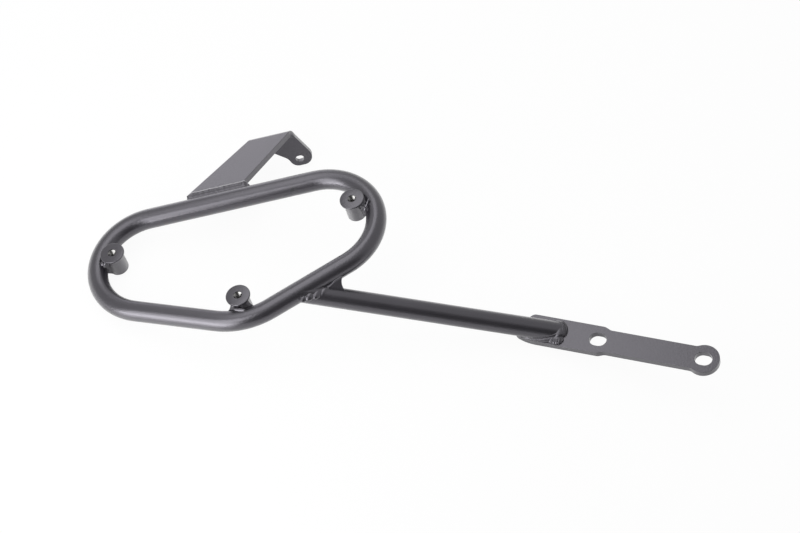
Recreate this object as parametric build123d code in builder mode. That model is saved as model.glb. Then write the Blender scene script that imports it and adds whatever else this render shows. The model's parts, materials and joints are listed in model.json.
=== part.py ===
"""Pannier frame: a welded tube carrier that bolts to the side of a motorbike and holds a pannier.

It is modelled flat first: the loop lies in the XY plane with its top straight along X, +Y is up on
the bike and +Z points outboard, towards the pannier. At the end every piece is laid down together as
the frame rests on a bench, on its loop, the ear of its bracket and the heel of its plate.
"""
import os
from math import asin, atan2, cos, degrees, hypot, radians, sin, sqrt, tan

from build123d import *

os.makedirs("parts", exist_ok=True)

# Tube, the same for the loop and the stay
tube_diameter = 16.0
tube_wall = 2.0

# Loop: a rounded triangle, measured on the tube's centre line
loop_depth = 116.8
end_bend_spacing = 134.6
end_bend_radius = 44.9
lower_bend_radius = 56.6

# Bosses: flanged and threaded, set just inside the loop
boss_height = 20.0
boss_top = 11.8
boss_body_diameter = 15.2
boss_flange_diameter = 19.2
boss_flange_thickness = 2.0
boss_edge = 0.4
boss_bore_diameter = 6.8
side_boss_offset = 14.0
side_boss_angle = 18.8
lower_boss_offset = 14.9

# Upper bracket: a strap and a tab folded from one plate, leaning inboard from the top straight
bracket_thickness = 5.0
bracket_lean = 20.0
bracket_bend_radius = 2.0
bracket_reach = 78.6
strap_left = -35.2
strap_right = 9.4
fold_left = 13.7
fold_right = 48.6
tab_left = 18.6
tab_right = 52.0
tab_depth = 26.6
ear_place = 51.7
ear_straight = 3.8
ear_radius = 7.5
ear_blend = 9.0
ear_slot_place = 50.7
ear_slot_depth = 27.7
ear_slot_width = 5.5
ear_slot_travel = 1.5

# Stay: from the side straight of the loop down to the plate
stay_start = 25.2
stay_swing = 8.6
stay_dip = 25.0
stay_trim = 7.7
plate_inboard = 84.0

# Plate: two slotted holes for the bolts into the bike, placed along it from the foot of the stay
plate_thickness = 5.0
plate_turn = 18.1
plate_width = 24.4
plate_neck_width = 20.0
plate_end_radius = 12.4
plate_end_blend = 6.0
plate_heel_far = 17.0
plate_heel_far_round = 5.0
plate_heel_tip = 31.0
plate_heel_tip_offset = 7.0
plate_heel_tip_round = 6.0
plate_heel_near = 15.5
plate_heel_near_round = 40.0
plate_step_place = 41.6
plate_step_length = 5.0
plate_step_blend = 6.0
plate_slot_place = 39.0
plate_slot_spacing = 84.0
plate_slot_width = 11.5
plate_slot_travel = 2.2

# Welds: how far each bead spreads past the corner that it fills
boss_weld_flare = 3.2
boss_weld_relief = 0.8
bracket_weld_leg = 4.0
bracket_weld_crown = 1.0
bracket_weld_lead = 0.8
bracket_weld_tail = 9.5
bracket_weld_turn = 30.0
stay_weld_throat = 2.2
stay_weld_overrun = 2.0
stay_web_thickness = 12.0
stay_crotch_radius = 10.0
stay_crotch_bite = 3.6
plate_weld_far_leg = 2.4
plate_weld_near_leg = 5.0
plate_weld_nose = 5.0
plate_weld_cap = 14.8
plate_weld_height = 4.2
plate_weld_crest = 0.2

# Loop: one tube bent to a rounded triangle and closed on itself
tube_radius = tube_diameter / 2
bore_radius = tube_radius - tube_wall
loop_half = end_bend_spacing / 2
bend_drop = loop_depth - end_bend_radius - lower_bend_radius
side_slope = degrees(
    atan2(bend_drop, loop_half) + asin((lower_bend_radius - end_bend_radius) / hypot(loop_half, bend_drop))
)
right_bend_centre = Vector(loop_half, -end_bend_radius)
left_bend_centre = Vector(-loop_half, -end_bend_radius)
lower_bend_centre = Vector(0, lower_bend_radius - loop_depth)

with BuildLine() as loop_line:
    top_straight = Line((-loop_half, 0), (loop_half, 0))
    right_bend = CenterArc(right_bend_centre, end_bend_radius, 90, side_slope - 180)
    lower_bend = CenterArc(lower_bend_centre, lower_bend_radius, side_slope - 90, -2 * side_slope)
    left_bend = CenterArc(left_bend_centre, end_bend_radius, 270 - side_slope, side_slope - 180)
    right_straight = Line(right_bend @ 1, lower_bend @ 0)
    left_straight = Line(lower_bend @ 1, left_bend @ 0)

loop_section = Plane(top_straight @ 0, z_dir=(1, 0, 0))


def ring(radius):
    """A solid ring that follows the loop, to fit other pieces against the tube."""
    with BuildPart() as solid_ring:
        with BuildSketch(loop_section):
            Circle(radius)
        sweep(path=loop_line.wire())
    return solid_ring.part


with BuildPart() as loop_tube:
    with BuildSketch(loop_section):
        Circle(tube_radius)
        Circle(bore_radius, mode=Mode.SUBTRACT)
    sweep(path=loop_line.wire())

loop_outside = ring(tube_radius)

# Bosses: turned from bar, coped where the body runs into the tube, with a thread cut right through
boss_bottom = boss_top - boss_height
body_radius = boss_body_diameter / 2
flange_radius = boss_flange_diameter / 2
flange_underside = boss_top - boss_flange_thickness
thread_radius = boss_bore_diameter / 2
side_boss_along = cos(radians(side_boss_angle))
side_boss_rise = sin(radians(side_boss_angle))
boss_seats = {
    "left": (left_bend_centre, end_bend_radius, side_boss_offset, (-side_boss_along, side_boss_rise)),
    "right": (right_bend_centre, end_bend_radius, side_boss_offset, (side_boss_along, side_boss_rise)),
    "lower": (lower_bend_centre, lower_bend_radius, lower_boss_offset, (0, -1)),
}
boss_places = {
    side: bend_centre + Vector(outward) * (bend_radius - offset)
    for side, (bend_centre, bend_radius, offset, outward) in boss_seats.items()
}
pieces = {"loop_tube": loop_tube}
for side, place in boss_places.items():
    with BuildPart() as boss:
        with BuildSketch(Plane(place, x_dir=(1, 0, 0), z_dir=(0, -1, 0))):
            with BuildLine():
                Polyline(
                    (thread_radius, boss_bottom + boss_edge),
                    (thread_radius + boss_edge, boss_bottom),
                    (body_radius - boss_edge, boss_bottom),
                    (body_radius, boss_bottom + boss_edge),
                    (body_radius, flange_underside),
                    (flange_radius, flange_underside),
                    (flange_radius, boss_top - boss_edge),
                    (flange_radius - boss_edge, boss_top),
                    (thread_radius + boss_edge, boss_top),
                    (thread_radius, boss_top - boss_edge),
                    close=True,
                )
            make_face()
        revolve(axis=Axis(place, (0, 0, 1)))
        add(loop_outside, mode=Mode.SUBTRACT)
    pieces["boss_" + side] = boss

# Boss welds: one bead right round the seat of each boss, flaring with a hollow onto the tube
wall_middle = (thread_radius + body_radius) / 2
weld_top = flange_underside - boss_weld_relief
weld_bottom = boss_bottom + boss_weld_relief
weld_middle = (weld_top + weld_bottom) / 2
weld_reach = body_radius + weld_top - weld_middle
hollow_reach = body_radius + boss_weld_flare
for side, (_, _, offset, outward) in boss_seats.items():
    place = boss_places[side]
    hollow_out = offset - tube_radius - boss_weld_flare
    hollow_along = sqrt(hollow_reach**2 - hollow_out**2)
    seat_out = hollow_out * body_radius / hollow_reach
    with BuildPart() as boss_weld:
        with BuildSketch(Plane(place, x_dir=Vector(outward).cross(Vector(0, 0, 1)), z_dir=(0, 0, 1))):
            with Locations((0, (seat_out + offset) / 2)):
                Rectangle(2 * hollow_along, offset - seat_out)
            with Locations((-hollow_along, hollow_out), (hollow_along, hollow_out)):
                Circle(boss_weld_flare, mode=Mode.SUBTRACT)
        extrude(amount=boss_height, both=True)
        with BuildSketch(Plane(place, x_dir=(1, 0, 0), z_dir=(0, -1, 0))):
            with BuildLine():
                Polyline(
                    (wall_middle, weld_bottom),
                    (body_radius, weld_bottom),
                    (weld_reach, weld_middle),
                    (body_radius, weld_top),
                    (wall_middle, weld_top),
                    close=True,
                )
            make_face()
        revolve(axis=Axis(place, (0, 0, 1)), mode=Mode.INTERSECT)
        add(loop_outside, mode=Mode.SUBTRACT)
        add(pieces["boss_" + side].part, mode=Mode.SUBTRACT)
    pieces["weld_boss_" + side] = boss_weld

# Upper bracket: its strap's outer face is level with the tube's crown, and its edge rests on the tube
lean = radians(bracket_lean)
strap_run = Vector(0, cos(lean), -sin(lean))
strap_normal = Vector(0, sin(lean), cos(lean))
strap_face = Plane(strap_normal * tube_radius, x_dir=(1, 0, 0), z_dir=strap_normal)
tab_face = Plane(
    strap_normal * tube_radius + strap_run * bracket_reach, x_dir=(1, 0, 0), z_dir=strap_run
)
strap_inside = tube_radius - bracket_thickness
strap_edge = sqrt(tube_radius**2 - strap_inside**2)
fold_outside = bracket_bend_radius + bracket_thickness
fold_start = bracket_reach - fold_outside
fold_centre = strap_face.from_local_coords((0, fold_start, -fold_outside))
fold_section = Plane(fold_centre, x_dir=(1, 0, 0), z_dir=-strap_run)
fold_steps = 6
ear_left = ear_place - ear_straight / 2
ear_right = ear_place + ear_straight / 2
ear_distance = hypot(ear_right - tab_right, tab_depth - fold_outside)
edge_length = sqrt(ear_distance**2 - ear_radius**2)
edge_angle = atan2(ear_right - tab_right, tab_depth - fold_outside) + asin(ear_radius / ear_distance)

with BuildPart() as upper_bracket:
    with BuildSketch(strap_face):
        with BuildLine():
            Polyline(
                (strap_left, strap_edge),
                (strap_right, strap_edge),
                (fold_right, fold_start),
                (fold_left, fold_start),
                close=True,
            )
        make_face()
    extrude(amount=-bracket_thickness)
    for step in range(fold_steps + 1):
        turned = step / fold_steps
        left = fold_left + turned * (tab_left - fold_left)
        right = fold_right + turned * (tab_right - fold_right)
        with BuildSketch(fold_section.rotated((-90 * turned, 0, 0))):
            with BuildLine():
                Polyline(
                    (left, bracket_bend_radius),
                    (right, bracket_bend_radius),
                    (right, fold_outside),
                    (left, fold_outside),
                    close=True,
                )
            make_face()
    loft()
    with BuildSketch(tab_face) as tab_outline:
        with BuildLine():
            Polyline(
                (tab_left, fold_outside),
                (tab_right, fold_outside),
                (tab_right + edge_length * sin(edge_angle), fold_outside + edge_length * cos(edge_angle)),
                (ear_right, tab_depth),
                (ear_left, tab_depth),
                (ear_left - ear_radius, tab_depth),
                close=True,
            )
        make_face()
        with Locations((ear_place, tab_depth)):
            SlotCenterToCenter(ear_straight, 2 * ear_radius)
        fillet(tab_outline.vertices().sort_by_distance((ear_left - ear_radius, tab_depth))[0], ear_blend)
        with Locations((ear_slot_place, ear_slot_depth)):
            SlotCenterToCenter(ear_slot_travel, ear_slot_width, mode=Mode.SUBTRACT)
    extrude(amount=-bracket_thickness)
pieces["upper_bracket"] = upper_bracket

# Bracket welds: a crowned run along the strap's outer face and a fillet run along its inner face
bracket_section = Plane((0, 0, 0), x_dir=strap_run, z_dir=(1, 0, 0))
toe_along = tube_radius * sin(radians(bracket_weld_turn))
toe_out = tube_radius * cos(radians(bracket_weld_turn))
weld_runs = {
    "front": (
        (toe_along, toe_out),
        (strap_edge, tube_radius + bracket_weld_crown),
        (strap_edge + bracket_weld_leg, tube_radius),
        (strap_edge, strap_inside),
    ),
    "back": (
        (strap_edge, strap_inside),
        (strap_edge + bracket_weld_leg, strap_inside),
        (toe_out, -toe_along),
    ),
}
weld_toe = strap_edge + bracket_weld_leg
toe_share = bracket_weld_leg / (fold_start - strap_edge)
for side, profile in weld_runs.items():
    with BuildPart() as bracket_weld:
        with BuildSketch(bracket_section):
            with BuildLine():
                Polyline(*profile, close=True)
            make_face()
        extrude(amount=end_bend_spacing, both=True)
        with BuildSketch(strap_face):
            with BuildLine():
                Polyline(
                    (strap_left - bracket_weld_lead, 0),
                    (strap_right + bracket_weld_tail, 0),
                    (strap_right + toe_share * (fold_right - strap_right), weld_toe),
                    (strap_left + toe_share * (fold_left - strap_left), weld_toe),
                    close=True,
                )
            make_face()
        extrude(amount=tube_diameter, both=True, mode=Mode.INTERSECT)
        add(loop_outside, mode=Mode.SUBTRACT)
        add(upper_bracket.part, mode=Mode.SUBTRACT)
    pieces["weld_bracket_" + side] = bracket_weld

# Stay: fish-mouthed onto the loop, its foot cut to sit flat on the plate and its tip trimmed square
slope = radians(side_slope)
swing = radians(stay_swing)
dip = radians(stay_dip)
side_run = Vector(cos(slope), sin(slope))
stay_root = right_straight @ 1 + side_run * stay_start
stay_run = Vector(cos(swing) * cos(dip), -sin(swing) * cos(dip), -sin(dip))
stay_section = Plane(stay_root, z_dir=stay_run)
stay_length = plate_inboard / sin(dip)
plate_top = Plane.XY.offset(-plate_inboard)

with BuildPart() as stay_outside:
    with BuildSketch(stay_section):
        Circle(tube_radius)
    extrude(amount=stay_length + stay_trim)

with BuildPart() as stay_tube:
    with BuildSketch(stay_section):
        Circle(tube_radius)
        Circle(bore_radius, mode=Mode.SUBTRACT)
    extrude(amount=stay_length + stay_trim)
    split(bisect_by=plate_top, keep=Keep.TOP)
    add(loop_outside, mode=Mode.SUBTRACT)
pieces["stay_tube"] = stay_tube

# Stay weld: a bead right round the fish-mouth, and a web that closes its sharp corner with a hollow
joint_angle = radians(side_run.get_angle(stay_run))
bead_radius = tube_radius + stay_weld_throat
web_face = Plane(stay_root, x_dir=side_run, z_dir=side_run.cross(stay_run))
loop_side = Plane(stay_root - web_face.y_dir * stay_weld_overrun, z_dir=web_face.y_dir)
crotch_place = (tube_radius + stay_crotch_radius - stay_crotch_bite) / sin(joint_angle / 2)
web_side = (crotch_place - stay_crotch_radius / 2) / cos(joint_angle / 2)

with BuildPart() as weld_stay_loop:
    with BuildSketch(stay_section.offset(-bead_radius)):
        Circle(bead_radius)
    extrude(amount=web_side + bead_radius)
    with BuildSketch(Plane(stay_root, z_dir=side_run)):
        Circle(bead_radius)
    extrude(amount=web_side, both=True, mode=Mode.INTERSECT)
    split(bisect_by=loop_side, keep=Keep.TOP)
    with BuildSketch(web_face):
        with BuildLine():
            Polyline(
                (0, 0),
                (web_side, 0),
                (web_side * cos(joint_angle), web_side * sin(joint_angle)),
                close=True,
            )
        make_face()
    extrude(amount=stay_web_thickness / 2, both=True)
    with BuildSketch(web_face):
        with Locations((crotch_place * cos(joint_angle / 2), crotch_place * sin(joint_angle / 2))):
            Circle(stay_crotch_radius)
    extrude(amount=bead_radius, both=True, mode=Mode.SUBTRACT)
    add(loop_outside, mode=Mode.SUBTRACT)
    add(stay_outside.part, mode=Mode.SUBTRACT)
pieces["weld_stay_loop"] = weld_stay_loop

# Plate: laser cut, parallel to the loop, broad under the stay and round at its end
plate_angle = radians(stay_swing + plate_turn)
stay_foot = stay_root + stay_run * stay_length
plate_face = Plane(stay_foot, x_dir=(cos(plate_angle), -sin(plate_angle), 0), z_dir=(0, 0, 1))
plate_end = plate_slot_place + plate_slot_spacing
neck_place = plate_step_place + plate_step_length
neck_middle = (neck_place + plate_end) / 2
half_width = plate_width / 2
half_neck = plate_neck_width / 2

with BuildSketch(plate_face) as plate_outline:
    with BuildLine():
        Polyline(
            (-plate_heel_far, half_width),
            (plate_step_place, half_width),
            (neck_place, half_neck),
            (plate_end, half_neck),
            (plate_end, -half_neck),
            (neck_place, -half_neck),
            (plate_step_place, -half_width),
            (-plate_heel_near, -half_width),
            (-plate_heel_tip, -plate_heel_tip_offset),
            close=True,
        )
    make_face()
    fillet(plate_outline.vertices().filter_by_position(Axis.X, 0, neck_middle), plate_step_blend)
    for corner, rounding in (
        ((-plate_heel_far, half_width), plate_heel_far_round),
        ((-plate_heel_tip, -plate_heel_tip_offset), plate_heel_tip_round),
        ((-plate_heel_near, -half_width), plate_heel_near_round),
    ):
        fillet(plate_outline.vertices().sort_by_distance(corner)[0], rounding)
    with Locations((plate_end, 0)):
        Circle(plate_end_radius)
    fillet(plate_outline.vertices().filter_by_position(Axis.X, neck_middle, plate_end), plate_end_blend)

with BuildPart() as stay_plate:
    extrude(plate_outline.sketch, amount=-plate_thickness)
    with BuildSketch(plate_face):
        with Locations((plate_slot_place, 0), (plate_end, 0)):
            SlotCenterToCenter(plate_slot_travel, plate_slot_width)
    extrude(amount=-plate_thickness, mode=Mode.SUBTRACT)
pieces["stay_plate"] = stay_plate

# Plate weld: a bead round the slanted foot of the stay, broader on its near side, which also closes its tip
foot_face = Plane(stay_foot, x_dir=(cos(swing), -sin(swing), 0), z_dir=(0, 0, 1))
foot_reach = tube_radius / sin(dip) + plate_weld_crest
weld_levels = (
    (0, 0, plate_weld_far_leg, plate_weld_near_leg, plate_weld_cap),
    (plate_weld_height, plate_weld_height / tan(dip), plate_weld_crest, plate_weld_crest, foot_reach),
)

with BuildPart() as weld_stay_plate:
    for level, back, far_leg, near_leg, cap in weld_levels:
        middle = (far_leg - near_leg) / 2
        half_bead = tube_radius + (far_leg + near_leg) / 2
        nose = plate_weld_nose - back
        with BuildSketch(foot_face.offset(level)):
            with BuildLine():
                EllipticalCenterArc((-back, middle), foot_reach + far_leg, half_bead, 90, arc_size=180)
                Line((-back, middle - half_bead), (nose, middle - half_bead))
                EllipticalCenterArc((nose, middle), cap - plate_weld_nose, half_bead, 270, arc_size=180)
                Line((nose, middle + half_bead), (-back, middle + half_bead))
            make_face()
    loft(ruled=True)
    extrude(plate_outline.sketch, amount=plate_weld_height, mode=Mode.INTERSECT)
    add(stay_outside.part, mode=Mode.SUBTRACT)
pieces["weld_stay_plate"] = weld_stay_plate

# The frame at rest: it lies on the left bend of its loop, the ear of its bracket and the heel of its plate
heel_bend = plate_outline.sketch.edges().filter_by(GeomType.CIRCLE).sort_by(Axis.X)[0]
heel_under = heel_bend.arc_center - Vector(0, 0, plate_thickness)
ear_corners = [
    tab_face.from_local_coords((along, tab_depth, depth))
    for along in (ear_left, ear_right)
    for depth in (0, -bracket_thickness)
]
resting_tries = 12
up = Vector(0, 0, 1)
level = Vector(1, 0)
for _ in range(resting_tries):
    ear_down = (up - strap_run * up.dot(strap_run)).normalized()
    on_loop = left_bend_centre - level * end_bend_radius - up * tube_radius
    on_plate = heel_under - level * plate_heel_tip_round
    on_ear = min((corner - ear_down * ear_radius for corner in ear_corners), key=up.dot)
    up = (on_plate - on_loop).cross(on_ear - on_loop).normalized()
    level = Vector(up.X, up.Y).normalized()

bench = Plane(on_loop, x_dir=Vector(1, 0, 0) - up * up.X, z_dir=up)
for piece in pieces.values():
    piece.part.move(bench.location.inverse())
box = Compound([piece.part for piece in pieces.values()]).bounding_box()
under_middle = Location((-box.center().X, -box.center().Y, -box.min.Z))
for name, piece in pieces.items():
    piece.part.move(under_middle)
    piece.part.label = name
    export_step(piece.part, f"parts/{name}.step")
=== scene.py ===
import json
from math import atan2, cos, pi, radians, sin

import bpy
from mathutils import Matrix, Quaternion, Vector


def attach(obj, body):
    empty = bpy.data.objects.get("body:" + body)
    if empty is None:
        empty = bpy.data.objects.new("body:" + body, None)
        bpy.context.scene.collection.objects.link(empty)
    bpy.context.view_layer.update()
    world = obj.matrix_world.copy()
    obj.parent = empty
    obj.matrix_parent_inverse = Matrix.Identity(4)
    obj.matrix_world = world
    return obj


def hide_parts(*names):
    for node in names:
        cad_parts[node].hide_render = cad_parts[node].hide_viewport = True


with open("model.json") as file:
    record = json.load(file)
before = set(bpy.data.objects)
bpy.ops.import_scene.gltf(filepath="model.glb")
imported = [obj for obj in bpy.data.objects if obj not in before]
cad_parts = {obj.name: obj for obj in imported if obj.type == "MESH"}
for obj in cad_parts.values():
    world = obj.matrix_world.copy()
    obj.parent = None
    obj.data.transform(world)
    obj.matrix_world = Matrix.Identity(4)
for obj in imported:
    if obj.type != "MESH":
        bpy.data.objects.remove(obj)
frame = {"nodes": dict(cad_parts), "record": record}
nodes = frame["nodes"]
mounts = {mount["name"]: mount for mount in frame["record"]["mounts"]}
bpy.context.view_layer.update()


# The loop: one steel tube bent to a rounded triangle and closed by a butt weld, blasted and then
# powder coated in satin black. The coat flows out with a faint orange peel and a fine grain.
def powder_coat(name, peel=0.16, grain=0.45, roughness=0.29):
    coat = bpy.data.materials.new(name)
    coat.use_nodes = True
    tree = coat.node_tree
    shader = tree.nodes["Principled BSDF"]
    shader.inputs["IOR"].default_value = 1.5
    shader.inputs["Specular Tint"].default_value = (0.84, 0.76, 1.0, 1)
    shader.inputs["Coat Weight"].default_value = 1.0
    shader.inputs["Coat IOR"].default_value = 1.65
    shader.inputs["Coat Roughness"].default_value = roughness
    place = tree.nodes.new("ShaderNodeTexCoord")

    drift = tree.nodes.new("ShaderNodeTexNoise")
    drift.inputs["Scale"].default_value = 35
    drift.inputs["Detail"].default_value = 3
    tone = tree.nodes.new("ShaderNodeValToRGB")
    tone.color_ramp.elements[0].position = 0.3
    tone.color_ramp.elements[0].color = (0.0108, 0.0100, 0.0122, 1)
    tone.color_ramp.elements[1].position = 0.7
    tone.color_ramp.elements[1].color = (0.0150, 0.0141, 0.0168, 1)
    tree.links.new(place.outputs["Object"], drift.inputs["Vector"])
    tree.links.new(drift.outputs["Fac"], tone.inputs["Fac"])
    tree.links.new(tone.outputs["Color"], shader.inputs["Base Color"])

    sheen = tree.nodes.new("ShaderNodeMapRange")
    sheen.inputs["To Min"].default_value = roughness - 0.05
    sheen.inputs["To Max"].default_value = roughness + 0.05
    tree.links.new(drift.outputs["Fac"], sheen.inputs["Value"])
    tree.links.new(sheen.outputs["Result"], shader.inputs["Roughness"])

    orange_peel = tree.nodes.new("ShaderNodeTexNoise")
    orange_peel.inputs["Scale"].default_value = 650
    orange_peel.inputs["Detail"].default_value = 2
    fine_grain = tree.nodes.new("ShaderNodeTexNoise")
    fine_grain.inputs["Scale"].default_value = 1200
    fine_grain.inputs["Detail"].default_value = 2
    peel_bump = tree.nodes.new("ShaderNodeBump")
    peel_bump.inputs["Strength"].default_value = peel
    peel_bump.inputs["Distance"].default_value = 0.0006
    grain_bump = tree.nodes.new("ShaderNodeBump")
    grain_bump.inputs["Strength"].default_value = grain
    grain_bump.inputs["Distance"].default_value = 0.0001
    tree.links.new(place.outputs["Object"], orange_peel.inputs["Vector"])
    tree.links.new(place.outputs["Object"], fine_grain.inputs["Vector"])
    tree.links.new(orange_peel.outputs["Fac"], peel_bump.inputs["Height"])
    tree.links.new(fine_grain.outputs["Fac"], grain_bump.inputs["Height"])
    tree.links.new(peel_bump.outputs["Normal"], grain_bump.inputs["Normal"])
    tree.links.new(grain_bump.outputs["Normal"], shader.inputs["Normal"])
    tree.links.new(grain_bump.outputs["Normal"], shader.inputs["Coat Normal"])
    return coat


def paint(piece, coat):
    piece.data.materials.clear()
    piece.data.materials.append(coat)


tube_coat = powder_coat("tube_coat")
paint(nodes["loop_tube"], tube_coat)


# The bosses: three bushes turned from steel bar with a flange at the top, for the bolts that carry
# the pannier. Each body is coped to seat inside a bend of the loop, and its sharp edges are broken.
def choose(*pieces):
    bpy.ops.object.select_all(action="DESELECT")
    for piece in pieces:
        piece.select_set(True)
    bpy.context.view_layer.objects.active = pieces[0]


def finish_with(piece, kind, **settings):
    choose(piece)
    modifier = piece.modifiers.new(kind.lower(), kind)
    for setting, value in settings.items():
        setattr(modifier, setting, value)
    bpy.ops.object.modifier_apply(modifier=modifier.name)


def merged_copy(node, name):
    piece = bpy.data.objects.new(name, nodes[node].data.copy())
    bpy.context.collection.objects.link(piece)
    choose(piece)
    bpy.ops.mesh.customdata_custom_splitnormals_clear()
    bpy.ops.object.mode_set(mode="EDIT")
    bpy.ops.mesh.select_all(action="SELECT")
    bpy.ops.mesh.remove_doubles(threshold=0.000002)
    bpy.ops.object.mode_set(mode="OBJECT")
    return piece


def turned(name, rings, around):
    radius, height = rings[0]
    bpy.ops.object.select_all(action="DESELECT")
    bpy.ops.mesh.primitive_circle_add(vertices=around, radius=radius, location=(0, 0, height))
    piece = bpy.context.object
    piece.name = name
    bpy.ops.object.transform_apply(location=True, rotation=True, scale=True)
    bpy.ops.object.mode_set(mode="EDIT")
    bpy.ops.mesh.select_all(action="SELECT")
    for next_radius, next_height in rings[1:]:
        bpy.ops.mesh.extrude_edges_indiv()
        grow = next_radius / radius
        bpy.ops.transform.resize(value=(grow, grow, 1), center_override=(0, 0, height))
        bpy.ops.transform.translate(value=(0, 0, next_height - height))
        radius, height = next_radius, next_height
    bpy.ops.mesh.select_all(action="SELECT")
    bpy.ops.mesh.remove_doubles(threshold=0.000002)
    bpy.ops.mesh.normals_make_consistent(inside=False)
    bpy.ops.object.mode_set(mode="OBJECT")
    return piece


def copied(piece, name):
    twin = bpy.data.objects.new(name, piece.data.copy())
    bpy.context.collection.objects.link(twin)
    return twin


def stand(piece, mount):
    upright = Vector(mounts[mount]["axis"]).to_track_quat("Z", "Y").to_matrix().to_4x4()
    piece.matrix_world = Matrix.Translation(mounts[mount]["pos_m"]) @ upright
    choose(piece)
    bpy.ops.object.transform_apply(location=True, rotation=True, scale=True)


boss_half = 0.0100
boss_body = 0.0076
boss_flange = 0.0096
boss_underside = 0.0080
boss_thread_root = 0.0038
boss_mouth = 0.0034
boss_mouth_depth = 0.0003
boss_edge = 0.0006
boss_facets = 128
boss_crease = radians(35)
same_ring = 0.00001
boss_rings = (
    (boss_mouth, -boss_half),
    (boss_body, -boss_half),
    (boss_body, boss_underside),
    (boss_flange, boss_underside),
    (boss_flange, boss_half),
    (boss_mouth, boss_half),
    (boss_thread_root, boss_half - boss_mouth_depth),
    (boss_thread_root, -boss_half + boss_mouth_depth),
    (boss_mouth, -boss_half),
)
boss_coat = powder_coat("boss_coat", peel=0.12)
turned_boss = turned("turned_boss", boss_rings, boss_facets)
broken = turned_boss.data.attributes.new("bevel_weight_edge", "FLOAT", "EDGE")
for edge in turned_boss.data.edges:
    first, second = (turned_boss.data.vertices[index].co for index in edge.vertices)
    ring = abs(first.xy.length - second.xy.length) + abs(first.z - second.z) < same_ring
    broken.data[edge.index].value = ring and first.xy.length > boss_body - same_ring
finish_with(turned_boss, "BEVEL", width=boss_edge, segments=3, limit_method="WEIGHT")
tube_cutter = merged_copy("loop_tube", "tube_cutter")
bushes = {}
for side in ("left", "right", "lower"):
    boss = copied(turned_boss, "bush_" + side)
    stand(boss, "boss_" + side)
    finish_with(boss, "BOOLEAN", operation="DIFFERENCE", solver="EXACT", object=tube_cutter)
    choose(boss)
    bpy.ops.object.shade_smooth_by_angle(angle=boss_crease)
    paint(boss, boss_coat)
    bushes[side] = boss
    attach(boss, "root")
    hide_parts("boss_" + side)
bpy.data.objects.remove(turned_boss)
bpy.data.objects.remove(tube_cutter)


# The threads: M8 cut right through each boss after coating, so that the flanks are bare bright
# steel. One coarse ridge winds down the bore, a pitch of 1.25 mm from turn to turn.
def bare_steel(name):
    steel = bpy.data.materials.new(name)
    steel.use_nodes = True
    tree = steel.node_tree
    shader = tree.nodes["Principled BSDF"]
    shader.inputs["Metallic"].default_value = 1.0
    place = tree.nodes.new("ShaderNodeTexCoord")
    streaks = tree.nodes.new("ShaderNodeTexNoise")
    streaks.inputs["Scale"].default_value = 900
    streaks.inputs["Detail"].default_value = 3
    tone = tree.nodes.new("ShaderNodeValToRGB")
    tone.color_ramp.elements[0].position = 0.3
    tone.color_ramp.elements[0].color = (0.26, 0.257, 0.253, 1)
    tone.color_ramp.elements[1].position = 0.7
    tone.color_ramp.elements[1].color = (0.38, 0.376, 0.370, 1)
    gloss = tree.nodes.new("ShaderNodeMapRange")
    gloss.inputs["To Min"].default_value = 0.13
    gloss.inputs["To Max"].default_value = 0.24
    tree.links.new(place.outputs["Object"], streaks.inputs["Vector"])
    tree.links.new(streaks.outputs["Fac"], tone.inputs["Fac"])
    tree.links.new(tone.outputs["Color"], shader.inputs["Base Color"])
    tree.links.new(streaks.outputs["Fac"], gloss.inputs["Value"])
    tree.links.new(gloss.outputs["Result"], shader.inputs["Roughness"])
    return steel


thread_pitch = 0.00125
thread_turns = 14
thread_crest = 0.0034
thread_root = 0.0039
thread_root_width = 0.00112
thread_crest_width = 0.00018
thread_facets = 48
bpy.ops.object.select_all(action="DESELECT")
bpy.ops.mesh.primitive_plane_add(size=1, rotation=(pi / 2, 0, 0))
wound_thread = bpy.context.object
wound_thread.name = "wound_thread"
wound_thread.scale = (thread_root - thread_crest, thread_root_width, 1)
wound_thread.location = ((thread_root + thread_crest) / 2, 0, -thread_pitch * thread_turns / 2)
bpy.ops.object.transform_apply(location=True, rotation=True, scale=True)
bpy.ops.object.mode_set(mode="EDIT")
bpy.ops.mesh.select_all(action="SELECT")
bpy.ops.mesh.delete(type="ONLY_FACE")
bpy.ops.mesh.select_all(action="DESELECT")
bpy.ops.object.mode_set(mode="OBJECT")
for point in wound_thread.data.vertices:
    point.select = point.co.x < (thread_root + thread_crest) / 2
bpy.ops.object.mode_set(mode="EDIT")
bpy.ops.transform.resize(
    value=(1, 1, thread_crest_width / thread_root_width),
    center_override=(thread_crest, 0, -thread_pitch * thread_turns / 2),
)
bpy.ops.object.mode_set(mode="OBJECT")
finish_with(
    wound_thread,
    "SCREW",
    axis="Z",
    angle=2 * pi,
    screw_offset=thread_pitch,
    iterations=thread_turns,
    steps=thread_facets,
    render_steps=thread_facets,
    use_merge_vertices=False,
)
bpy.ops.object.mode_set(mode="EDIT")
bpy.ops.mesh.select_all(action="SELECT")
bpy.ops.mesh.remove_doubles(threshold=0.000001)
bpy.ops.mesh.fill_holes(sides=4)
bpy.ops.mesh.select_all(action="SELECT")
bpy.ops.mesh.normals_make_consistent(inside=False)
bpy.ops.object.mode_set(mode="OBJECT")
thread_steel = bare_steel("thread_steel")
for side in ("left", "right", "lower"):
    thread = copied(wound_thread, "thread_" + side)
    stand(thread, "boss_" + side)
    bpy.ops.object.shade_smooth_by_angle(angle=boss_crease)
    paint(thread, thread_steel)
    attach(thread, "root")
bpy.data.objects.remove(wound_thread)


# The boss welds: one bead right round the seat of each boss, laid by hand with the torch and
# coated over. Each bead wets out onto the tube and shows the ripples of the pool.
bead_voxel = 0.00035
settle_voxel = 0.0004
bed_reach = 2.4
wave_level = 0.6


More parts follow.
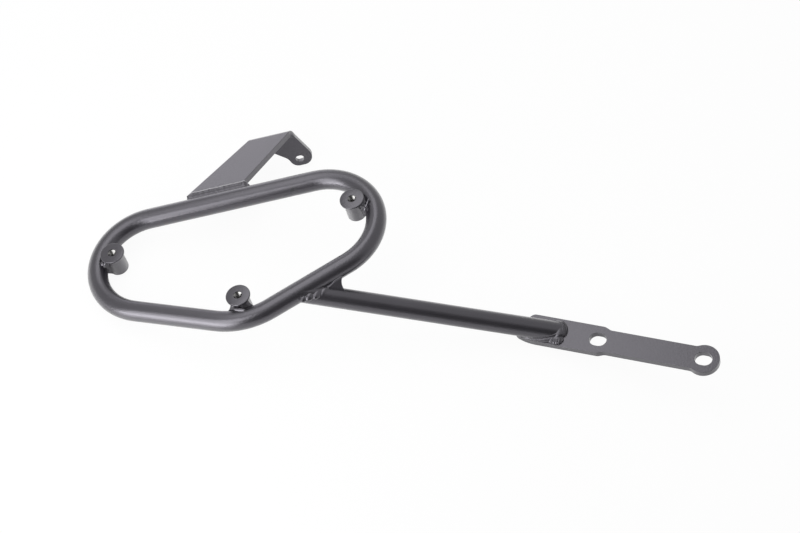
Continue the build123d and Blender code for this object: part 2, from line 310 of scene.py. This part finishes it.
def pool(name, centre, along, upwards, half_sizes):
    bpy.ops.object.select_all(action="DESELECT")
    bpy.ops.mesh.primitive_uv_sphere_add(segments=24, ring_count=16, radius=1)
    drop = bpy.context.object
    drop.name = name
    along = Vector(along).normalized()
    across = Vector(upwards).cross(along).normalized()
    upwards = along.cross(across)
    turn = Matrix((along, across, upwards)).transposed().to_4x4()
    drop.matrix_world = Matrix.Translation(centre) @ turn @ Matrix.Diagonal((*half_sizes, 1))
    bpy.ops.object.transform_apply(location=True, rotation=True, scale=True)
    return drop


def bed_in(bead, parents, sink):
    reach = sink * bed_reach
    for point in bead.data.vertices:
        for parent in parents:
            _, foot, outwards, _ = parent.closest_point_on_mesh(point.co)
            clear = (point.co - foot).dot(outwards)
            if clear < reach:
                point.co -= outwards * sink * min(1, 1 - clear / reach)


def laid_bead(name, node, parents, sink, pools=(), settle=None, swell=0, ripple=None):
    bead = merged_copy(node, name)
    if settle:
        finish_with(bead, "REMESH", mode="VOXEL", voxel_size=settle_voxel)
        for point in bead.data.vertices:
            point.co = settle(point.co)
    choose(bead, *pools)
    if pools:
        bpy.ops.object.join()
    finish_with(bead, "REMESH", mode="VOXEL", voxel_size=bead_voxel)
    if swell:
        finish_with(bead, "DISPLACE", strength=swell, mid_level=0)
    finish_with(bead, "SMOOTH", factor=0.5, iterations=5)
    if ripple:
        lifts = [point.normal * ripple(point.co) for point in bead.data.vertices]
        for point, lift in zip(bead.data.vertices, lifts):
            point.co += lift
    finish_with(bead, "SMOOTH", factor=0.5, iterations=1)
    bed_in(bead, parents, sink)
    choose(bead)
    bpy.ops.object.shade_smooth()
    return bead


def pool_wave(along, pitch, height):
    return height * (sin(pi * along / pitch) ** 2 - wave_level)


weld_coat = powder_coat("weld_coat", peel=0.14)
key_side = (-0.40, -0.64, 0.65)
boss_sink = 0.0002
boss_swell = 0.0001
boss_ripple_pitch = 0.0026
boss_ripple_height = 0.00008
boss_ripple_lean = 0.3
boss_pools = {
    "left": ((-0.2241, 0.0217, 0.0149), (0.1, -0.2, -1.0), (0.0026, 0.0022, 0.0022)),
    "right": ((-0.0187, 0.0212, 0.0684), (-0.35, -0.42, -0.84), (0.0066, 0.0019, 0.0019)),
    "lower": ((-0.1229, -0.0514, 0.0427), (0.85, -0.45, 0.28), (0.0060, 0.0020, 0.0017)),
}
for side in ("left", "right", "lower"):
    mount = mounts["boss_" + side]
    seat = Vector(mount["axis"]).to_track_quat("Z", "Y").to_matrix().transposed()
    centre = Vector(mount["pos_m"])

    def boss_ripple(point):
        local = seat @ (point - centre)
        round_seat = atan2(local.y, local.x) * boss_body + local.z * boss_ripple_lean
        return pool_wave(round_seat, boss_ripple_pitch, boss_ripple_height)

    place, along, half_sizes = boss_pools[side]
    bead = laid_bead(
        "bead_boss_" + side,
        "weld_boss_" + side,
        (nodes["loop_tube"], bushes[side]),
        boss_sink,
        pools=[pool("ridge", place, along, key_side, half_sizes)],
        swell=boss_swell,
        ripple=boss_ripple,
    )
    paint(bead, weld_coat)
    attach(bead, "root")
    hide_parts("weld_boss_" + side)


# The upper bracket: a strap and a folded tab cut from 5 mm plate, with a rounded ear and a slot for
# a small bolt. It is laser cut and pressed to its bend, and its edges are broken before coating.
def broken_edges(name, node, edge):
    piece = merged_copy(node, name)
    bpy.ops.object.mode_set(mode="EDIT")
    bpy.ops.mesh.select_all(action="SELECT")
    bpy.ops.mesh.dissolve_limited(angle_limit=radians(0.4))
    bpy.ops.object.mode_set(mode="OBJECT")
    finish_with(
        piece,
        "BEVEL",
        width=edge,
        segments=3,
        limit_method="ANGLE",
        angle_limit=radians(40),
        use_clamp_overlap=True,
        harden_normals=False,
    )
    choose(piece)
    bpy.ops.object.shade_smooth_by_angle(angle=radians(30))
    finish_with(piece, "WEIGHTED_NORMAL", weight=100, keep_sharp=True)
    return piece


plate_edge = 0.00045
plate_coat = powder_coat("plate_coat", peel=0.13)
bracket = broken_edges("folded_bracket", "upper_bracket", plate_edge)
paint(bracket, plate_coat)
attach(bracket, "root")
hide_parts("upper_bracket")


# The bracket welds: a fillet along each face of the strap where its edge stands on the tube. Each is
# a short straight run, flatter than the boss beads. The front one climbs the strap, wanders a little
# as a hand does, and is closed by a small fill at each end.
tube_radius = 0.008
top_start = Vector((-0.12506, 0.06104, 0.03560))
run_start = Vector((-0.155, 0.070, 0.030))
run_line = Vector((0.967, 0, 0.2547))
strap_line = Vector((0.083, 0.943, -0.322))
strap_up = run_line.cross(strap_line)
run_sink = 0.0006
run_ripple_pitch = 0.0043
run_ripple_height = 0.00006
front_toe = -0.0038
front_leg = 0.0074
front_rise = 0.0022
front_toe_share = 0.35
front_seat = 0.0015
front_press = 0.6
front_end = 0.0517
front_taper = 0.0030
front_lead = 0.3
front_wander = ((0.16, 430, 0), (0.12, 1070, 1))
fill_up = strap_up * 0.94 - strap_line * 0.34
fill_places = (0.0013, front_end - 0.0014)
fill_back = 0.0012
fill_lift = 0.0002
fill_half_sizes = (0.0015, 0.0015, 0.0024)


def held(value):
    return min(1, max(0, value))


def bracket_ripple(point):
    return pool_wave((point - run_start).dot(run_line), run_ripple_pitch, run_ripple_height)


def settle_on_strap(point):
    up = held(((point - run_start).dot(strap_line) - front_toe) / front_leg)
    along = (point - run_start).dot(run_line)
    full = held(min(along, front_end - along) / front_taper - front_lead)
    wander = 1
    for size, rate, start in front_wander:
        wander = wander + size * sin(along * rate + start)
    climb = front_toe_share + (1 - front_toe_share) * up * wander
    point = point + strap_line * front_rise * climb * full
    from_top = point - top_start
    out = from_top - run_line * from_top.dot(run_line)
    above = max(0, tube_radius + front_seat - out.length)
    return point - out.normalized() * above * front_press


end_fills = []
for along in fill_places:
    corner = run_start + run_line * along - strap_line * fill_back + strap_up * fill_lift
    end_fills.append(pool("end_fill", corner, run_line, fill_up, fill_half_sizes))
for face, settle, fills in (("front", settle_on_strap, end_fills), ("back", None, ())):
    bead = laid_bead(
        "bead_bracket_" + face,
        "weld_bracket_" + face,
        (nodes["loop_tube"], bracket),
        run_sink,
        pools=fills,
        settle=settle,
        ripple=bracket_ripple,
    )
    paint(bead, weld_coat)
    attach(bead, "root")
    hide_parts("weld_bracket_" + face)

# The stay: a straight length of the same tube, coped onto the side of the loop and running down to
# the plate that bolts to the motorbike. It has the loop's coat.
paint(nodes["stay_tube"], tube_coat)


# The stay weld: a bead along the crotch where the stay meets the loop, with a small web left in the
# corner and a thin run beneath. It is built up in slow overlapping pools, so that its ripples are
# wide, and it is coated with the rest.
loop_start = Vector((-0.0805, -0.0434, 0.0466))
loop_line = Vector((0.89286, 0.38232, 0.23797))
stay_start = Vector((-0.0750, -0.0420, 0.0474))
stay_line = Vector((0.97443, -0.13269, -0.18131))
stay_top = Vector((0, 0.2, 1)).normalized()
stay_top_fall = 0.35
stay_top_span = 0.6
stay_toe = -0.0002
stay_lip = 0.0009
stay_lip_reach = 0.003
stay_under = Vector((0.11, 0.60, -0.79))
stay_under_edge = 0.2
stay_under_span = 0.4
stay_under_leg = 0.0012
web_start = -0.058
web_run = 0.012
web_rise = 0.010
pool_line = Vector((0.67, 0.73, 0.16))
pool_march = Vector((0.73, -0.67, 0.0))
pool_up = Vector((0.10, -0.45, 0.88))
pool_places = (
    ((-0.0736, -0.0499, 0.0497), (0.0036, 0.0029, 0.0021)),
    ((-0.0685, -0.0485, 0.0507), (0.0048, 0.0034, 0.0021)),
    ((-0.0630, -0.0473, 0.0508), (0.0052, 0.0035, 0.0021)),
    ((-0.0575, -0.0458, 0.0508), (0.0052, 0.0035, 0.0020)),
)
stay_ripple_pitch = 0.0031
stay_ripple_height = 0.00004
stay_ripple_end = -0.050
stay_ripple_fade = 0.006


def settle_on_stay(point):
    from_loop = point - loop_start
    clear = (from_loop - loop_line * from_loop.dot(loop_line)).length - tube_radius
    along = (point - stay_start).dot(stay_line)
    out = point - stay_start - stay_line * along
    high = held((out.normalized().dot(stay_top) + stay_top_fall) / stay_top_span)
    web = held((point.x - web_start) / web_run)
    rise = stay_lip * max(0, 1 - clear / stay_lip_reach) + web_rise * web**2
    under = held((out.normalized().dot(stay_under) - stay_under_edge) / stay_under_span)
    limit = tube_radius + stay_toe + rise * high**2 + stay_under_leg * under
    return stay_start + stay_line * along + out * min(1, limit / out.length)


def stay_ripple(point):
    fade = held((stay_ripple_end - point.x) / stay_ripple_fade)
    return pool_wave(point.dot(pool_march), stay_ripple_pitch, stay_ripple_height) * fade


bead = laid_bead(
    "bead_stay_loop",
    "weld_stay_loop",
    (nodes["loop_tube"], nodes["stay_tube"]),
    run_sink,
    pools=[pool("pool", centre, pool_line, pool_up, half_sizes) for centre, half_sizes in pool_places],
    settle=settle_on_stay,
    ripple=stay_ripple,
)
paint(bead, weld_coat)
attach(bead, "root")
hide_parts("weld_stay_loop")

# The plate: a flat bar cut from 5 mm plate with two slotted ends and a stepped neck, laid along the
# stay's lower end. Its edges are broken all round before it is coated.
plate = broken_edges("slotted_plate", "stay_plate", plate_edge)
paint(plate, plate_coat)
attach(plate, "root")
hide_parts("stay_plate")


# The plate weld: a bead round the stay's lower end where it lies on the plate, with a full rounded
# nose past the end of the tube. It is laid in short pools and coated over.
plate_up = Vector((-0.254683, -0.006695, 0.967001))
nose_run = Vector((0.956406, -0.149529, 0.250857))
nose_across = Vector((0.142915, 0.988734, 0.044486))
stay_foot = Vector((0.117161, -0.068167, 0.011645))
near_run = nose_run - nose_across * 0.18
plate_toe = 0.0008
crescent_line = nose_across * 0.80 + plate_up * 0.45 + nose_run * 0.35
crescent_places = ((0.0014, -0.0110), (0.0034, -0.0116), (0.0054, -0.0118), (0.0073, -0.0114))
crescent_lift = 0.0016
crescent_half_sizes = (0.0022, 0.0009, 0.0009)


def settle_on_foot(point):
    along = (point - stay_start).dot(stay_line)
    out = point - stay_start - stay_line * along
    limit = tube_radius + plate_toe
    return stay_start + stay_line * along + out * min(1, limit / out.length)


def on_foot(run, side, up):
    return stay_foot + nose_run * run + nose_across * side + plate_up * up


foot_pools = [
    pool("nose", on_foot(0.0060, -0.0005, 0), nose_run, plate_up, (0.0080, 0.0088, 0.0054)),
    pool("near_side", on_foot(-0.0070, -0.0066, 0), near_run, plate_up, (0.0155, 0.0038, 0.0036)),
    pool("near_toe", on_foot(0.0042, -0.0088, 0), near_run, plate_up, (0.0066, 0.0050, 0.0026)),
]
for run, side in crescent_places:
    centre = on_foot(run, side, crescent_lift)
    foot_pools.append(pool("crescent", centre, crescent_line, plate_up, crescent_half_sizes))
bead = laid_bead(
    "bead_stay_plate",
    "weld_stay_plate",
    (nodes["stay_tube"], plate),
    run_sink,
    pools=foot_pools,
    settle=settle_on_foot,
)
paint(bead, weld_coat)
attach(bead, "root")
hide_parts("weld_stay_plate")

# The floor: a white lacquered bench top that the frame lies on, bright enough to read as plain
# white and glossy enough at a low angle to pass on the light of the soft box beside it.
bench_size = 12
bench_glow = 0.94
bench_sheen_glow = 0.3
bpy.ops.object.select_all(action="DESELECT")
bpy.ops.mesh.primitive_plane_add(size=bench_size, location=(0, 0, 0))
bench = bpy.context.object
bench.name = "bench_top"
lacquer = bpy.data.materials.new("white_lacquer")
lacquer.use_nodes = True
tree = lacquer.node_tree
tree.nodes.clear()
seen = tree.nodes.new("ShaderNodeLightPath")
straight = tree.nodes.new("ShaderNodeMath")
straight.operation = "MULTIPLY"
straight.inputs[1].default_value = bench_glow
mirrored = tree.nodes.new("ShaderNodeMath")
mirrored.operation = "MULTIPLY"
mirrored.inputs[1].default_value = bench_sheen_glow
bounced = tree.nodes.new("ShaderNodeMath")
bounced.operation = "MAXIMUM"
share = tree.nodes.new("ShaderNodeMath")
share.operation = "MAXIMUM"
white = tree.nodes.new("ShaderNodeBsdfDiffuse")
white.inputs["Color"].default_value = (0.85, 0.85, 0.85, 1)
glow = tree.nodes.new("ShaderNodeEmission")
glow.inputs["Strength"].default_value = 1.0
ground = tree.nodes.new("ShaderNodeMixShader")
polish = tree.nodes.new("ShaderNodeBsdfGlossy")
polish.inputs["Roughness"].default_value = 0.18
edge_on = tree.nodes.new("ShaderNodeFresnel")
edge_on.inputs["IOR"].default_value = 2.6
low_angle = tree.nodes.new("ShaderNodeMath")
low_angle.operation = "MULTIPLY"
sheen = tree.nodes.new("ShaderNodeMixShader")
surface = tree.nodes.new("ShaderNodeAddShader")
out = tree.nodes.new("ShaderNodeOutputMaterial")
tree.links.new(seen.outputs["Is Camera Ray"], straight.inputs[0])
tree.links.new(seen.outputs["Is Glossy Ray"], bounced.inputs[0])
tree.links.new(seen.outputs["Is Transmission Ray"], bounced.inputs[1])
tree.links.new(bounced.outputs[0], mirrored.inputs[0])
tree.links.new(straight.outputs[0], share.inputs[0])
tree.links.new(mirrored.outputs[0], share.inputs[1])
tree.links.new(share.outputs[0], ground.inputs["Fac"])
tree.links.new(white.outputs[0], ground.inputs[1])
tree.links.new(glow.outputs[0], ground.inputs[2])
tree.links.new(edge_on.outputs[0], low_angle.inputs[0])
tree.links.new(seen.outputs["Is Glossy Ray"], low_angle.inputs[1])
tree.links.new(low_angle.outputs[0], sheen.inputs["Fac"])
tree.links.new(polish.outputs[0], sheen.inputs[2])
tree.links.new(ground.outputs[0], surface.inputs[0])
tree.links.new(sheen.outputs[0], surface.inputs[1])
tree.links.new(surface.outputs[0], out.inputs["Surface"])
bench.data.materials.append(lacquer)

# The light: a pale room that is darker at the front, a bright strip with a soft box above it at the
# front left, a wide box overhead towards the back and a narrow one far behind the frame.
room_level = 0.70
room_dark = 0.12
dark_edge = radians(48)
dark_core = radians(16)
dark_side = (0.157, -0.893, 0.423)
room = bpy.data.worlds.new("studio_room")
room.use_nodes = True
tree = room.node_tree
backdrop = tree.nodes["Background"]
backdrop.inputs["Color"].default_value = (1, 1, 1, 1)
look = tree.nodes.new("ShaderNodeTexCoord")
towards = tree.nodes.new("ShaderNodeVectorMath")
towards.operation = "DOT_PRODUCT"
towards.inputs[1].default_value = dark_side
shade = tree.nodes.new("ShaderNodeMapRange")
shade.interpolation_type = "SMOOTHSTEP"
shade.inputs["From Min"].default_value = cos(dark_edge)
shade.inputs["From Max"].default_value = cos(dark_core)
shade.inputs["To Min"].default_value = room_level
shade.inputs["To Max"].default_value = room_dark
seen = tree.nodes.new("ShaderNodeLightPath")
level = tree.nodes.new("ShaderNodeMix")
level.inputs["B"].default_value = 1.0
tree.links.new(look.outputs["Generated"], towards.inputs[0])
tree.links.new(towards.outputs["Value"], shade.inputs["Value"])
tree.links.new(seen.outputs["Is Camera Ray"], level.inputs["Factor"])
tree.links.new(shade.outputs["Result"], level.inputs["A"])
tree.links.new(level.outputs["Result"], backdrop.inputs["Strength"])
bpy.context.scene.world = room


def soft_box(name, place, aim, size, radiance, turn=0, colour=(1, 1, 1)):
    bpy.ops.object.select_all(action="DESELECT")
    bpy.ops.object.light_add(type="AREA", location=place)
    box = bpy.context.object
    box.name = name
    face = (Vector(aim) - Vector(place)).to_track_quat("-Z", "Y")
    box.rotation_euler = (face @ Quaternion((0, 0, 1), radians(turn))).to_euler()
    box.data.color = colour
    box.data.shape = "RECTANGLE"
    box.data.size, box.data.size_y = size
    box.data.energy = radiance * pi * box.data.size * box.data.size_y
    box.visible_camera = False


soft_box("front_left_strip", (-0.52, -0.36, 0.09), (-0.27, 0.14, 0.09), (0.50, 0.18), 6.0)
soft_box("front_left_box", (-0.52, -0.36, 0.51), (-0.27, 0.14, 0.51), (0.50, 0.66), 3.2)
soft_box("overhead_box", (-0.235, 0.325, 0.80), (-0.235, 0.325, 0), (0.54, 1.0), 1.45, turn=-16)
soft_box("back_box", (-0.35, 1.2, 0.32), (-0.10, 0.0, 0.03), (0.45, 0.60), 0.55, colour=(0.90, 0.86, 1.0))

# The camera: a long lens in front of the frame and a little to its left, looking down at about
# 52 degrees. Its place follows from the outlines of the loop, the bosses and the plate.
bpy.ops.object.select_all(action="DESELECT")
bpy.ops.object.camera_add()
camera = bpy.context.object
camera.name = "camera"
camera.data.sensor_fit = "HORIZONTAL"
camera.data.sensor_width = 36
camera.data.lens = 102.1275
camera.data.clip_start = 0.05
camera.matrix_world = Matrix(
    (
        (0.991978, 0.063784, -0.109142, -0.18751),
        (-0.116978, 0.790459, -0.60124, -1.07435),
        (0.047923, 0.609184, 0.791579, 1.43072),
        (0, 0, 0, 1),
    )
)
bpy.context.scene.camera = camera
bpy.context.scene.view_settings.view_transform = "Standard"
